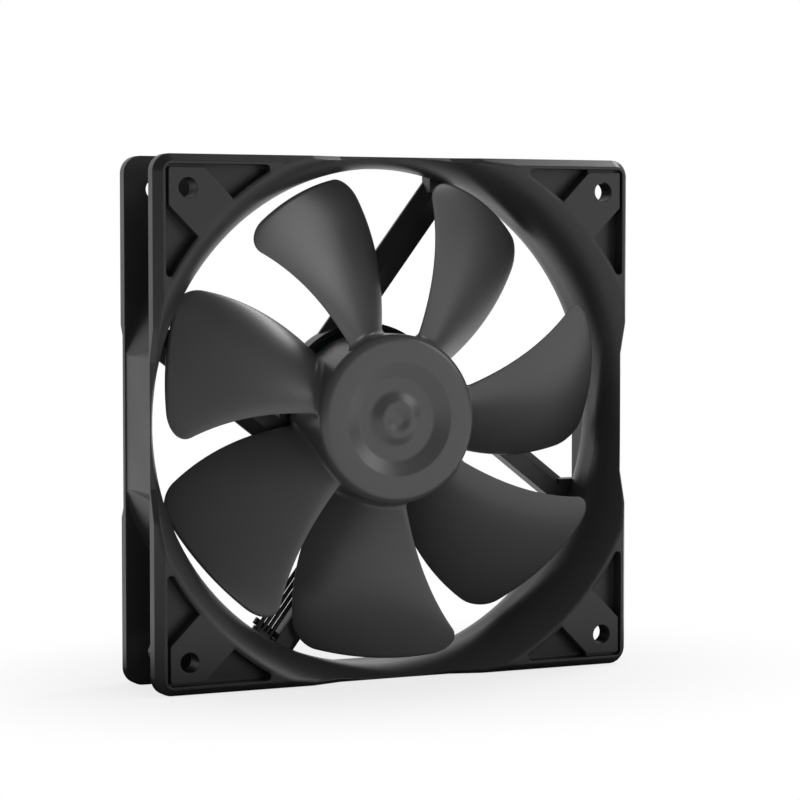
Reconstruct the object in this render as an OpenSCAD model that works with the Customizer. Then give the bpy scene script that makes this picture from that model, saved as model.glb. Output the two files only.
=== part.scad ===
// Square case fan: moulded frame, seven-blade impeller, sleeve-bearing motor and a sleeved lead.
// The fan axis lies along Y, the intake face looks towards -Y, and the fan stands on its lower edge.
// The origin is on the fan axis, half way through the frame. All sizes are in millimetres.

/* [Frame] */
// Width and height of the square frame
frame_w = 120; // [118:0.5:130]
// Depth of the frame from intake face to outlet face
frame_d = 25; // [24:0.5:30]
// Distance from the frame's side to the middle of a screw hole
hole_inset = 7.5; // [7:0.1:8]
// Diameter of a screw hole
hole_d = 4.5; // [4:0.1:4.8]
// Thickness of each square flange
flange_t = 4.8; // [4:0.1:6]
// Radius of the frame's outer corners
corner_r = 4; // [3:0.5:7]
// Width of the bevel round each flange's outer edge
bevel_w = 1.6; // [0.8:0.1:2]
// Depth of that bevel
bevel_d = 2.2; // [1:0.1:3]

/* [Duct] */
// Distance from the frame's side to the throat that the blades run in
throat_inset = 2.4; // [2.2:0.1:2.9]
// Radius of the intake mouth's curve
mouth_r = 13.8; // [13.4:0.2:16]
// Depth of the intake mouth
mouth_depth = 11.8; // [10.5:0.1:11.8]
// Radius of the outlet mouth's curve
outlet_r = 10.7; // [10.4:0.1:12]
// Depth of the outlet mouth
outlet_depth = 9; // [8:0.1:9.4]
// Duct wall round the throat, behind the intake flange
duct_front_wall = 2.4; // [2.2:0.1:2.8]
// Duct wall round the throat, ahead of the outlet flange
duct_rear_wall = 4.2; // [3.6:0.1:4.6]
// Length of the flat pad at the middle of each side
pad_len = 30; // [24:1:36]
// How far the pad lies inside the frame's side
pad_inset = 0.25; // [0.1:0.05:0.6]
// Wall left between a pad and the outlet mouth
pad_wall = 1.75; // [1.6:0.05:1.8]
// Run of the pad's sloping ends
pad_slope = 1.2; // [0.8:0.1:2]
// How much deeper the intake flange's bevel runs at the middle of each side
front_dip = 2.2; // [1:0.1:2.4]
// Length of that dip at its floor
front_dip_len = 28; // [24:1:32]
// Run of its sloping ends
front_dip_slope = 7.5; // [4:0.5:9]
// How much deeper the outlet flange's bevel runs at the middle of each side
rear_dip = 1.2; // [0.6:0.1:1.6]
// Length of that dip at its floor
rear_dip_len = 39; // [34:1:42]
// Run of its sloping ends
rear_dip_slope = 2.4; // [2:0.1:4]

/* [Corner pockets] */
// Width of the rim left outside the pockets
pocket_rim = 2.25; // [2:0.05:3]
// Distance from the diagonal to a pocket, along a side
pocket_band = 8.3; // [8:0.1:10]
// Lip left between a pocket and the mouth
pocket_lip = 1; // [0.8:0.1:1.5]
// Depth of a pocket
pocket_d = 3.7; // [2:0.1:3.8]
// Radius of a pocket's tip, between the rim and the mouth's lip
pocket_tip_r = 0.9; // [0.6:0.1:1.2]
// Width of the groove that joins a corner's two pockets
groove_w = 0.75; // [0.5:0.05:1]
// Depth of that groove
groove_d = 1.6; // [0.8:0.1:2.5]
// Radius of that groove's corner, at its outer side
groove_corner_r = 1.3; // [1.2:0.1:2]

/* [Motor base and struts] */
// Outside diameter of the motor base
base_d = 43.6; // [43:0.2:46]
// Height of the motor base
base_h = 4.4; // [4.2:0.1:5]
// Wall of the motor base's rim
base_wall = 1.4; // [1:0.1:1.8]
// Thickness of the base plate
base_plate_t = 1.6; // [1.2:0.1:2]
// Width of the ledge that the circuit board rests on
board_ledge = 1; // [0.6:0.1:1.4]
// Diameter of the collar that holds the bearing tube
collar_d = 12.4; // [11.6:0.2:13]
// Height of that collar above the outlet face
collar_h = 6; // [5.6:0.1:6.4]
// Depth of the round recess in the base's outlet side
back_recess_d = 0.4; // [0.2:0.1:0.6]
// Number of struts
strut_n = 4; // [3:1:5]
// Direction of the first strut, from the right, seen from the intake side
strut_angle = 52.5; // [45:0.5:60]
// Distance from the fan axis to the strut's near side
strut_offset = 13.5; // [13:0.1:15]
// Width of a strut at the outlet face
strut_w = 6.4; // [5:0.1:7]
// Width of a strut's intake side
strut_face_w = 3.8; // [3:0.1:4.5]
// Thickness of a strut
strut_t = 4.3; // [3.9:0.1:4.3]
// Height of a strut's straight edge, at the foot of its slope
strut_edge_t = 0.8; // [0.5:0.1:1.2]
// How far the struts lie inside the outlet face
strut_setback = 0.2; // [0.1:0.05:0.4]
// Thickness of a strut's foot
foot_t = 4.2; // [4.1:0.1:4.3]
// How far the feet lie inside the outlet face
foot_setback = 0.4; // [0.4:0.05:0.6]
// How far a strut's foot reaches in from the frame's side
foot_rise = 7.6; // [7:0.1:8]
// How far from the frame's side the foot steps out of the strut's far edge
foot_step = 5.2; // [4.8:0.1:5.6]
// Length of a strut's foot along the frame's side
foot_len = 18; // [17:0.5:19]

/* [Impeller] */
// Number of blades
blade_n = 7; // [5:1:9]
// Gap between the blade tips and the throat
tip_gap = 1.6; // [0.8:0.1:2]
// Distance of the blades' foremost point behind the intake face
blade_front = 2.6; // [2:0.1:4]
// Gap between the blades and the struts
blade_strut_gap = 1.6; // [1.2:0.1:2.5]
// Angle that a blade covers at the hub
blade_root_angle = 42; // [34:1:46]
// Angle that a blade covers at the tip
blade_tip_angle = 38; // [30:1:40]
// How far the tip leans forward, in degrees
blade_sweep_angle = 12; // [0:1:18]
// Bow of the blade at the hub
blade_camber = 2.2; // [1:0.1:3]
// Thickness of a blade at the hub
blade_root_t = 2.4; // [1.8:0.1:3]
// Thickness of a blade at the tip
blade_tip_t = 1.3; // [1:0.1:2]
// Radius that rounds off the blade's tip corner at its leading edge
blade_tip_round = 5; // [3:0.5:7]
// Diameter of the hub
hub_d = 39.2; // [38.8:0.1:40]
// Distance of the hub's face behind the intake face
hub_setback = 1.8; // [1:0.1:3]
// Radius round the hub's face
hub_edge_r = 2; // [1:0.1:2.6]
// Wall of the hub's skirt
hub_wall = 1.5; // [1.2:0.1:1.8]
// Wall of the hub's face
hub_face_t = 1.6; // [1.2:0.1:2]
// Diameter of the dish in the hub's face
dish_d = 26.4; // [24:0.2:28]
// Diameter of the dish's floor
dish_floor_d = 20; // [18:0.2:22]
// Depth of the dish
dish_depth = 1; // [0.6:0.1:1.4]
// Diameter of the low boss in the dish
nose_d = 10; // [8:0.2:12]
// Height of that boss
nose_h = 0.6; // [0.3:0.1:0.9]
// Diameter of the dimple in the boss
dimple_d = 4; // [3:0.2:5]
// Depth of that dimple
dimple_depth = 0.5; // [0.3:0.1:0.8]

/* [Rotor] */
// Gap between the hub's skirt and the motor base
skirt_gap = 0.8; // [0.6:0.1:1.2]
// Thickness of the steel yoke
yoke_t = 0.9; // [0.7:0.1:1.2]
// Width of the yoke's inward flange
yoke_flange_w = 4; // [3:0.1:5]
// How far the yoke stops short of the skirt's edge
yoke_setback = 1.2; // [0.8:0.1:2]
// Thickness of the magnet ring
magnet_t = 1.8; // [1.5:0.1:2]
// Gap between the magnet ring and the yoke's flange
magnet_space = 1.7; // [0.5:0.1:3]
// How far the magnet ring stops short of the yoke's edge
magnet_setback = 0.6; // [0.3:0.1:1]
// Diameter of the shaft
shaft_d = 3; // [2.6:0.1:3.4]
// Diameter of the brass bush that holds the shaft in the hub
bush_d = 6.6; // [6:0.1:7]
// Length of that bush
bush_len = 3.4; // [3:0.1:3.6]
// Wall of the hub's collar round the bush
bush_collar_t = 1.8; // [1.4:0.1:2.2]
// Diameter of the shaft at the clip's groove
clip_groove_d = 2.2; // [2:0.1:2.4]
// Thickness of the retaining clip
clip_t = 0.4; // [0.3:0.05:0.5]
// Outside diameter of the retaining clip
clip_d = 5; // [4.4:0.1:5.4]
// Width of the clip's opening
clip_gap_w = 1.2; // [0.8:0.1:1.6]

/* [Bearing] */
// Outside diameter of the bearing tube
tube_d = 9.2; // [8.8:0.1:9.6]
// Wall of the bearing tube
tube_wall = 0.9; // [0.7:0.1:1.1]
// Gap between shaft and bearing, on the radius
bearing_clearance = 0.03; // [0.02:0.01:0.06]
// Thickness of the slip washer on the bearing's face
washer_t = 0.4; // [0.3:0.05:0.5]
// Diameter of the slip washer
washer_d = 6.4; // [5.6:0.1:7]
// Gap between bush and slip washer
washer_gap = 0.5; // [0.3:0.1:0.8]
// Gap between bearing and clip, and between shaft and thrust plate
end_gap = 0.4; // [0.3:0.05:0.6]
// How far the shaft runs past the clip
shaft_tail = 1.4; // [1:0.1:1.6]
// Thickness of the thrust plate
thrust_t = 0.7; // [0.5:0.1:0.9]
// Length of the tube's rubber plug
plug_len = 1.1; // [0.8:0.1:1.3]
// How far that plug lies inside the outlet face
plug_setback = 0.5; // [0.2:0.1:0.8]

/* [Stator] */
// Gap between stator and magnet
air_gap = 0.45; // [0.35:0.05:0.7]
// Distance from the base's collar to the rear insulator
core_lift = 1.9; // [1.6:0.1:2.4]
// Distance from the bearing tube's front edge to the stack
core_setback = 2.4; // [2:0.1:3]
// Width of a pole's arm
arm_w = 4.2; // [3.4:0.1:4.6]
// Thickness of a pole's shoe
shoe_t = 1.8; // [1.4:0.1:2.2]
// Width of the slot between two shoes
slot_w = 2.4; // [2:0.1:3]
// Wall of the stack's ring round the bearing tube
core_ring_t = 2.6; // [2:0.1:3]
// Thickness of an insulator
insulator_t = 1.2; // [0.8:0.1:1.4]
// Depth of wire wound on an arm's side
coil_side_t = 2; // [1.4:0.1:2.4]
// Depth of wire wound over an arm's ends
coil_end_t = 1.2; // [0.8:0.1:1.3]
// Gap between a coil and what it is wound on
coil_gap = 0.15; // [0.1:0.05:0.25]
// Diameter of a winding post
post_d = 0.8; // [0.6:0.1:1]

/* [Circuit board] */
// Thickness of the circuit board
board_t = 1.2; // [1:0.1:1.4]
// Gap round the circuit board
board_gap = 0.3; // [0.2:0.05:0.4]
// Length, width and height of the hall sensor
hall_size = [4, 3, 1.5]; // [1:0.1:5]
// Length, width and height of the driver chip
chip_size = [5, 4, 1.4]; // [1:0.1:6]
// Length, width and height of a chip capacitor
capacitor_size = [2, 1.2, 0.9]; // [0.5:0.1:3]
// Number of chip capacitors
capacitor_n = 3; // [2:1:4]

/* [Lead] */
// Number of lead wires
wire_n = 4; // [3:1:4]
// Diameter of a lead wire
wire_d = 1.05; // [0.9:0.05:1.1]
// Spacing of the wires
wire_pitch = 1.2; // [1.15:0.05:1.25]
// Gap between the wires and the strut beside them
wire_gap = 0.6; // [0.4:0.1:0.8]
// How far inside the throat the shrink sleeve takes the wires
sleeve_inset = 4.4; // [4:0.1:5]
// Length of the shrink sleeve
shrink_len = 4.8; // [4.5:0.1:5.5]
// Thickness of the shrink sleeve round the wires
shrink_t = 0.45; // [0.3:0.05:0.6]
// Thickness of the hook behind the shrink sleeve
hook_t = 0.8; // [0.6:0.1:1]
// Width of the hook
hook_w = 1.6; // [1.2:0.1:1.8]
// Diameter of the sleeved cord
cord_d = 2.6; // [2.4:0.1:2.6]
// Length of the hank's runs
hank_run = 46; // [40:1:48]
// Tightest fold of the hank
hank_fold_r = 7.8; // [7.8:0.1:9]
// Step from one of the hank's loops to the next
hank_step = 3.2; // [3.2:0.1:3.6]
// How far the runs are drawn in at the tie
hank_waist = 4; // [3:0.1:4]
// Thickness of the tie
tie_t = 0.6; // [0.5:0.1:0.8]
// Width of the tie
tie_w = 5; // [3:0.5:7]
// Length of the plug housing
plug_body_len = 12; // [10:0.5:13]
// Height of the plug housing
plug_body_h = 4.4; // [4:0.1:4.6]
// Spacing of the plug's contacts
contact_pitch = 2.54; // [2.5:0.01:2.6]
// Side of a contact
contact_w = 1.4; // [1.2:0.1:1.6]
// Wall behind the plug's openings
plug_floor = 3; // [2:0.5:4]
// Gap behind and in front of a contact in its opening
contact_gap = 0.5; // [0.3:0.1:0.8]

/* [Hidden] */

$fn = 96;
// Overlap that lets a cut pass clear of a face
clear = 1;

// Height above the middle of the frame, towards the intake side, of a point at a depth behind the intake face
function level(depth) = frame_d / 2 - depth;

// Frame
half_w = frame_w / 2;
hole_spacing = frame_w - 2 * hole_inset;
throat_r = half_w - throat_inset;
duct_front_r = throat_r + duct_front_wall;
duct_rear_r = throat_r + duct_rear_wall;
mouth_lip_r = throat_r + mouth_r - sqrt(mouth_r * mouth_r - mouth_depth * mouth_depth);
throat_len = frame_d - mouth_depth - outlet_depth;
pad_plane = half_w - pad_inset;
flat_plane = pad_plane - pad_wall;
foot_reach = flat_plane + 0.4;
foot_start = ((half_w - foot_step) * cos(strut_angle) - strut_offset - strut_w) / sin(strut_angle);

// Motor base, counted in depths behind the intake face
base_r = base_d / 2;
base_front = frame_d - base_h;
plate_front = frame_d - base_plate_t;
cavity_r = base_r - base_wall;
tube_r = tube_d / 2;
tube_bore_r = tube_r - tube_wall;
collar_front = frame_d - collar_h;
strut_rear = frame_d - strut_setback;
strut_front = strut_rear - strut_t;
foot_rear = frame_d - foot_setback;
foot_front = foot_rear - foot_t;
notch_front = frame_d - flange_t - 0.5;

// Leads: the strut that carries them lies opposite the first one, and points down and to the left
lead_angle = strut_angle + floor(strut_n / 2) * 360 / strut_n;
wire_depth = plate_front - wire_d / 2;
wire_row_w = (wire_n - 1) * wire_pitch + wire_d;
wire_middle = strut_offset - wire_gap - wire_row_w / 2;
shrink_w = 2 * (strut_offset - wire_middle);
sleeve_start = sqrt(throat_r * throat_r - wire_middle * wire_middle) - sleeve_inset;
shrink_end = sleeve_start + shrink_len;
shrink_h = wire_d + 2 * shrink_t;
hook_front = wire_depth + shrink_h / 2;
notch_w = shrink_w;

// Circuit board
board_rear = plate_front - wire_d;
board_front = board_rear - board_t;
board_r = cavity_r - board_gap;
board_hole_r = collar_d / 2 + board_gap;

// Rotor
hub_r = hub_d / 2;
hub_inner_r = hub_r - hub_wall;
hub_under = hub_setback + dish_depth + hub_face_t;
skirt_rear = base_front - skirt_gap;
yoke_rear = skirt_rear - yoke_setback;
magnet_r = hub_inner_r - yoke_t;
magnet_bore_r = magnet_r - magnet_t;
magnet_rear = yoke_rear - magnet_setback;
magnet_front = hub_under + yoke_t + magnet_space;
shaft_r = shaft_d / 2;
bush_r = bush_d / 2;
bush_rear = hub_under + bush_len;

// Bearing
washer_front = bush_rear + washer_gap;
sleeve_front = washer_front + washer_t;
tube_front = sleeve_front;
plug_rear = frame_d - plug_setback;
thrust_rear = plug_rear - plug_len;
thrust_front = thrust_rear - thrust_t;
shaft_rear = thrust_front - end_gap;
clip_rear = shaft_rear - shaft_tail;
clip_front = clip_rear - clip_t;
sleeve_rear = clip_front - end_gap;

// Stator
core_front = tube_front + core_setback;
core_rear = collar_front - core_lift - insulator_t;
core_t = core_rear - core_front;
core_r = magnet_bore_r - air_gap;
core_ring_r = tube_r + core_ring_t;
shoe_r = core_r - shoe_t;
pole_n = 4;
pole_turn = 45;
post_reach = 1.8;
post_circle_r = core_ring_r + post_reach;
post_front = core_rear + insulator_t - 1;
post_rear = board_rear + 0.4;
post_clearance = 0.05;

// Blades
root_r = hub_r - hub_wall / 2;
tip_r = throat_r - tip_gap;
blade_rear = strut_front - blade_strut_gap;
blade_stations = 9;
blade_half_points = 8;
root_lead_drop = 2;
root_trail_rise = 1.2;

// Cord: the plug's width, the floor, and the hank's place and direction on it
plug_body_w = wire_n * contact_pitch;
floor_z = -half_w;
hank_z = floor_z + tie_t + cord_d / 2;
hank_centre = [-26, 59];
hank_angle = 72;
hank_start_w = hank_fold_r + 1.5 * hank_step;
hank_tail = 11;
hank_tail_q = 1;

// Lays a sketch drawn as seen from the intake side into the fan: x to the right, y up, z towards the viewer
module upright() {
    rotate([90, 0, 0]) children();
}

// Ring between two radii and two depths
module ring(outer_r, inner_r, from_depth, to_depth) {
    translate([0, 0, level(to_depth)]) difference() {
        cylinder(h = to_depth - from_depth, r = outer_r);
        translate([0, 0, -clear]) cylinder(h = to_depth - from_depth + 2 * clear, r = inner_r);
    }
}

// Round disc or bar between two depths
module disc(radius, from_depth, to_depth) {
    translate([0, 0, level(to_depth)]) cylinder(h = to_depth - from_depth, r = radius);
}

// Square sketch with round corners
module round_square(width, radius) {
    square([width - 2 * radius, width], center = true);
    square([width, width - 2 * radius], center = true);
    for (x = [-1, 1], y = [-1, 1])
        translate([x, y] * (width / 2 - radius)) circle(radius);
}

// Flange plate with its outer face up: bevelled prisms both ways, and a coned post in each corner
module flange() {
    profile = [[-half_w, 0], [half_w, 0], [half_w, flange_t - bevel_d], [half_w - bevel_w, flange_t],
               [bevel_w - half_w, flange_t], [-half_w, flange_t - bevel_d]];
    straight = frame_w - 2 * corner_r;
    rotate([90, 0, 0]) linear_extrude(straight, center = true) polygon(profile);
    rotate([90, 0, 90]) linear_extrude(straight, center = true) polygon(profile);
    for (x = [-1, 1], y = [-1, 1]) translate([x * straight / 2, y * straight / 2, 0]) {
        cylinder(h = flange_t - bevel_d, r = corner_r);
        translate([0, 0, flange_t - bevel_d])
            cylinder(h = bevel_d, r1 = corner_r, r2 = corner_r - bevel_w);
    }
}

// Duct wall between the flanges, flattened at the sides, with a pad that has sloping ends on each side
module duct_wall() {
    wall_h = frame_d - 2 * flange_t;
    intersection() {
        translate([0, 0, -wall_h / 2]) cylinder(h = wall_h, r1 = duct_rear_r, r2 = duct_front_r);
        cube([2 * pad_plane, 2 * pad_plane, frame_d], center = true);
    }
    pad_drop = pad_plane - throat_r + clear;
    for (turn = [0:90:270]) rotate(turn) linear_extrude(wall_h, center = true)
        polygon([[pad_plane, -pad_len / 2], [pad_plane, pad_len / 2],
                 [pad_plane - pad_drop, pad_len / 2 + pad_slope * pad_drop],
                 [pad_plane - pad_drop, -pad_len / 2 - pad_slope * pad_drop]]);
}

// Air path: throat with a bell mouth at each end
module air_path() {
    rotate_extrude() difference() {
        translate([0, -frame_d / 2 - clear]) square([mouth_lip_r, frame_d + 2 * clear]);
        translate([throat_r, outlet_depth - frame_d / 2]) square([2 * mouth_r, throat_len]);
        translate([throat_r + mouth_r, frame_d / 2 - mouth_depth]) circle(mouth_r);
        translate([throat_r + outlet_r, outlet_depth - frame_d / 2]) circle(outlet_r);
    }
}

// The outlet mouth stops at a flat on each side, so that the pads keep their wall
module duct_cut() {
    intersection() {
        air_path();
        translate([0, 0, frame_d / 2]) cube([2 * frame_w, 2 * frame_w, frame_d], center = true);
    }
    intersection() {
        air_path();
        cube([2 * flat_plane, 2 * flat_plane, frame_d + 4 * clear], center = true);
    }
}

// Sketch of one pocket, bounded by the rim, the diagonal band and the mouth's lip, with a rounded tip
module pocket_sketch() {
    edge = half_w - pocket_rim;
    lip_r = mouth_lip_r + pocket_lip;
    tip_x = edge - pocket_tip_r;
    tip_y = sqrt(pow(lip_r + pocket_tip_r, 2) - tip_x * tip_x);
    tip = [for (turn = [0:-30:-120]) [tip_x, tip_y] + pocket_tip_r * [cos(turn), sin(turn)]];
    under_lip = tip[4] + mouth_r / 2 * [-cos(30), sin(30)];
    difference() {
        polygon(concat([[edge, edge - pocket_band]], tip,
                       [under_lip, [under_lip[1], under_lip[1] - pocket_band]]));
        circle(lip_r);
    }
}

// Sketch of the groove round the outside of a corner's screw plate
module groove_sketch() {
    edge = half_w - pocket_rim;
    inner = edge - groove_w;
    intersection() {
        difference() {
            round_square(2 * edge, groove_corner_r);
            round_square(2 * inner, groove_corner_r - groove_w);
        }
        translate([1, 1] * (edge - pocket_band - clear)) square(frame_w);
    }
}

// Cored pockets and grooves in the face of one flange, with the face up at z = 0
module face_pockets() {
    for (turn = [0:90:270]) rotate(turn) {
        translate([0, 0, -pocket_d]) linear_extrude(pocket_d + clear) {
            pocket_sketch();
            mirror([1, -1]) pocket_sketch();
        }
        translate([0, 0, -groove_d]) linear_extrude(groove_d + clear) groove_sketch();
    }
}

// Dips at the middle of each side of the flange whose face is up: its bevel runs deeper between sloping ends
module side_dips(dip, floor_len, slope) {
    bevel_angle = atan(bevel_w / bevel_d);
    drop = dip * sin(bevel_angle);
    reach = floor_len / 2 + slope * (1 + clear / drop);
    for (turn = [0:90:270]) rotate(turn)
        translate([half_w, 0, frame_d / 2 - bevel_d]) rotate([0, -bevel_angle, 0]) rotate(-90)
            linear_extrude(2 * frame_d, center = true)
                polygon([[-floor_len / 2, -drop], [floor_len / 2, -drop], [reach, clear], [-reach, clear]]);
}

module screw_holes() {
    for (x = [-1, 1], y = [-1, 1])
        translate([x * hole_spacing / 2, y * hole_spacing / 2, -frame_d / 2 - clear])
            cylinder(h = frame_d + 2 * clear, d = hole_d);
}

// Block beside a strut: along the strut, off to its side, and between two depths
module strut_block(from_t, to_t, from_u, to_u, from_depth, to_depth) {
    translate([from_t, from_u, level(to_depth)])
        cube([to_t - from_t, to_u - from_u, to_depth - from_depth]);
}

// Way through the outlet flange for the lead
module lead_notch() {
    rotate(lead_angle) strut_block(sleeve_start, 2 * frame_w, wire_middle - notch_w / 2,
                                   wire_middle + notch_w / 2, notch_front, frame_d + clear);
}

// Strut along its own direction: flat towards the intake, sloping on its far side
module strut() {
    far = strut_offset + strut_w;
    rotate([90, 0, 90]) linear_extrude(frame_w)
        polygon([[strut_offset, level(strut_rear)], [far, level(strut_rear)],
                 [far, level(strut_rear - strut_edge_t)], [strut_offset + strut_face_w, level(strut_front)],
                 [strut_offset, level(strut_front)]]);
}

// Struts end inside the duct wall, each on a foot along the frame's side but for the lead's, and leave the
// motor base's inside free
module struts() {
    difference() {
        intersection() {
            for (turn = [0:360 / strut_n:359]) rotate(turn) {
                rotate(strut_angle) strut();
                if (strut_angle + turn != lead_angle)
                    strut_block(foot_start, foot_start + foot_len, half_w - foot_rise, half_w, foot_front,
                                foot_rear);
            }
            cylinder(h = 2 * frame_d, r = mouth_lip_r + 0.5, center = true);
            cube([2 * foot_reach, 2 * foot_reach, 2 * frame_d], center = true);
        }
        disc(base_r - base_wall / 2, 0, frame_d + clear);
    }
}

// Motor base: a shallow cup with a ledge for the board, a collar for the tube and a way out for the wires
module motor_base() {
    difference() {
        disc(base_r, base_front, frame_d);
        disc(cavity_r, base_front - clear, board_rear);
        ring(cavity_r - board_ledge, collar_d / 2, board_rear - clear, plate_front);
        disc(collar_d / 2 + clear, base_front - clear, board_rear);
        disc(tube_r, 0, frame_d + clear);
        ring(base_r - base_wall, collar_d / 2, frame_d - back_recess_d, frame_d + clear);
        rotate(lead_angle) strut_block(0, base_d, wire_middle - notch_w / 2, strut_offset - wire_gap / 2,
                                       base_front - clear, plate_front);
    }
    ring(collar_d / 2, tube_r, collar_front, frame_d);
}

// Hook that holds the shrink sleeve against the strut
module lead_hook() {
    rotate(lead_angle) strut_block(sleeve_start + hook_w / 2, sleeve_start + 1.5 * hook_w,
                                   wire_middle - shrink_w / 2, strut_offset + 1, hook_front,
                                   hook_front + hook_t);
}

// Moulded frame
module frame() {
    color("#2c2c2e") upright() {
        difference() {
            union() {
                translate([0, 0, frame_d / 2 - flange_t]) flange();
                mirror([0, 0, 1]) translate([0, 0, frame_d / 2 - flange_t]) flange();
                duct_wall();
            }
            duct_cut();
            translate([0, 0, frame_d / 2]) face_pockets();
            mirror([0, 0, 1]) translate([0, 0, frame_d / 2]) face_pockets();
            side_dips(front_dip, front_dip_len, front_dip_slope);
            mirror([0, 0, 1]) side_dips(rear_dip, rear_dip_len, rear_dip_slope);
            screw_holes();
            lead_notch();
        }
        struts();
        motor_base();
        lead_hook();
    }
}

// Blade, worked out at a share s of the way from hub to tip and a share c from leading to trailing edge
function mix(a, b, s) = a + (b - a) * s;
function blade_radius(s) = mix(root_r, tip_r, s);
// Rounding of the tip's corners: nothing over most of the span, a quarter ellipse at the end
tip_round_share = blade_tip_round / (tip_r - root_r);
function tip_cut(s) = s < 1 - tip_round_share ? 0 :
    1 - sqrt(max(0, 1 - pow((s - 1 + tip_round_share) / tip_round_share, 2)));
function lead_depth(s) = blade_front + root_lead_drop * pow(1 - s, 2);
function trail_depth(s) = blade_rear - root_trail_rise * pow(1 - s, 2);
function blade_arc(s) = mix(blade_root_angle, blade_tip_angle, s);
function blade_middle(s) = blade_sweep_angle * pow(s, 1.6);
function blade_camber_at(s) = blade_camber * (1 - 0.35 * s);
function blade_half_t(s) = mix(blade_root_t, blade_tip_t, s) / 2;
// Share of the chord that is left at the tip, cut at the leading and at the trailing edge
function chord_share(s, c) = mix(0.22 * tip_cut(s), 1 - 0.12 * tip_cut(s), c);
// Point of the bowed middle line: length round the fan, and depth
function middle_line(s, k) =
    [blade_radius(s) * (blade_middle(s) + blade_arc(s) * (0.5 - k)) * PI / 180,
     mix(lead_depth(s), trail_depth(s), k) - blade_camber_at(s) * 4 * k * (1 - k)];
// Unit vector square to the chord
function chord_normal(s) =
    let (d = middle_line(s, 1) - middle_line(s, 0))
    [-d[1], d[0]] / norm(d);
function blade_point(s, c, side) =
    let (r = blade_radius(s),
         k = chord_share(s, c),
         p = middle_line(s, k) + chord_normal(s) * side * blade_half_t(s) * sqrt(max(0, 4 * c * (1 - c))),
         a = p[0] / r * 180 / PI)
    [r * cos(a), r * sin(a), level(p[1])];
function chord_step(i) = (1 - cos(180 * i / blade_half_points)) / 2;
function blade_ring(s) = concat(
    [for (i = [0:blade_half_points]) blade_point(s, chord_step(i), 1)],
    [for (i = [blade_half_points - 1:-1:1]) blade_point(s, chord_step(i), -1)]);
function blade_station(i) = sin(90 * i / (blade_stations - 1));

// Triangles that join rings of equal count, and close both ends
function side_faces(rings, count) = [
    for (i = [0:rings - 2], j = [0:count - 1])
        let (a = i * count + j, b = i * count + (j + 1) % count)
        each [[a, a + count, b], [b, a + count, b + count]]];
// An end is a ladder of triangles between the ring's two halves, so that it follows a curved end
function ladder(count) = concat(
    [for (j = [0:count / 2 - 2]) [j, j + 1, count - j - 1]],
    [for (j = [1:count / 2 - 1]) [j, count - j - 1, count - j]]);
function first_cap(count) = ladder(count);
function last_cap(rings, count) =
    [for (t = ladder(count)) [t[0], t[2], t[1]] + (rings - 1) * count * [1, 1, 1]];

module blade() {
    count = 2 * blade_half_points;
    points = [for (i = [0:blade_stations - 1]) each blade_ring(blade_station(i))];
    polyhedron(points, concat(side_faces(blade_stations, count), first_cap(count),
                              last_cap(blade_stations, count)));
}

// Hub: a cup with a rounded face, a dish with a low nose, and a collar for the brass bush
module hub() {
    difference() {
        union() {
            disc(hub_r, hub_setback + hub_edge_r, skirt_rear);
            disc(hub_r - hub_edge_r, hub_setback, hub_setback + hub_edge_r + clear);
            translate([0, 0, level(hub_setback + hub_edge_r)])
                rotate_extrude() translate([hub_r - hub_edge_r, 0]) intersection() {
                    circle(hub_edge_r);
                    square(hub_edge_r);
                }
        }
        disc(hub_inner_r, hub_under, skirt_rear + clear);
        translate([0, 0, level(hub_setback + dish_depth)])
            cylinder(h = 2 * dish_depth, d1 = dish_floor_d, d2 = 2 * dish_d - dish_floor_d);
    }
    difference() {
        disc(nose_d / 2, hub_setback + dish_depth - nose_h, hub_setback + dish_depth + clear);
        disc(dimple_d / 2, 0, hub_setback + dish_depth - nose_h + dimple_depth);
    }
    ring(bush_r + bush_collar_t, bush_r, hub_under - clear / 2, bush_rear);
}

// Moulded impeller
module impeller() {
    color("#333336") upright() {
        hub();
        for (i = [0:blade_n - 1]) rotate(i * 360 / blade_n) blade();
    }
}

// Pressed steel yoke: a ring inside the hub's skirt with an inward flange
module rotor_yoke() {
    color("#8a8c90") upright() {
        ring(hub_inner_r, magnet_r, hub_under, yoke_rear);
        ring(magnet_r + yoke_t / 2, magnet_r - yoke_flange_w, hub_under, hub_under + yoke_t);
    }
}

// Bonded magnet ring inside the yoke
module magnet_ring() {
    color("#3a3532") upright() ring(magnet_r, magnet_bore_r, magnet_front, magnet_rear);
}

// Brass bush moulded into the hub
module shaft_bush() {
    color("#b8903c") upright() ring(bush_r, shaft_r, hub_under, bush_rear);
}

// Ground steel shaft with the clip's groove and a domed end
module shaft() {
    color("#c4c6ca") upright() difference() {
        union() {
            disc(shaft_r, hub_under, shaft_rear - shaft_r / 2);
            translate([0, 0, level(shaft_rear)]) cylinder(h = shaft_r / 2, r1 = shaft_r / 2, r2 = shaft_r);
        }
        ring(shaft_d, clip_groove_d / 2, clip_front, clip_rear);
    }
}

// Spring clip in the shaft's groove, open on one side
module retaining_clip() {
    color("#9a9ca0") upright() difference() {
        ring(clip_d / 2, clip_groove_d / 2, clip_front, clip_rear);
        translate([0, -clip_gap_w / 2, level(clip_rear) - clear])
            cube([clip_d, clip_gap_w, clip_t + 2 * clear]);
    }
}

// Brass tube pressed into the motor base's collar
module bearing_tube() {
    color("#b8903c") upright() ring(tube_r, tube_bore_r, tube_front, plug_rear);
}

// Sintered bronze sleeve pressed into the tube
module bearing_sleeve() {
    color("#8c6a3a") upright() ring(tube_bore_r, shaft_r + bearing_clearance, sleeve_front, sleeve_rear);
}

// Slip washer that lies on the bearing's front face
module slip_washer() {
    color("#e8e6dc") upright()
        ring(washer_d / 2, shaft_r + bearing_clearance, washer_front, sleeve_front);
}

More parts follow.
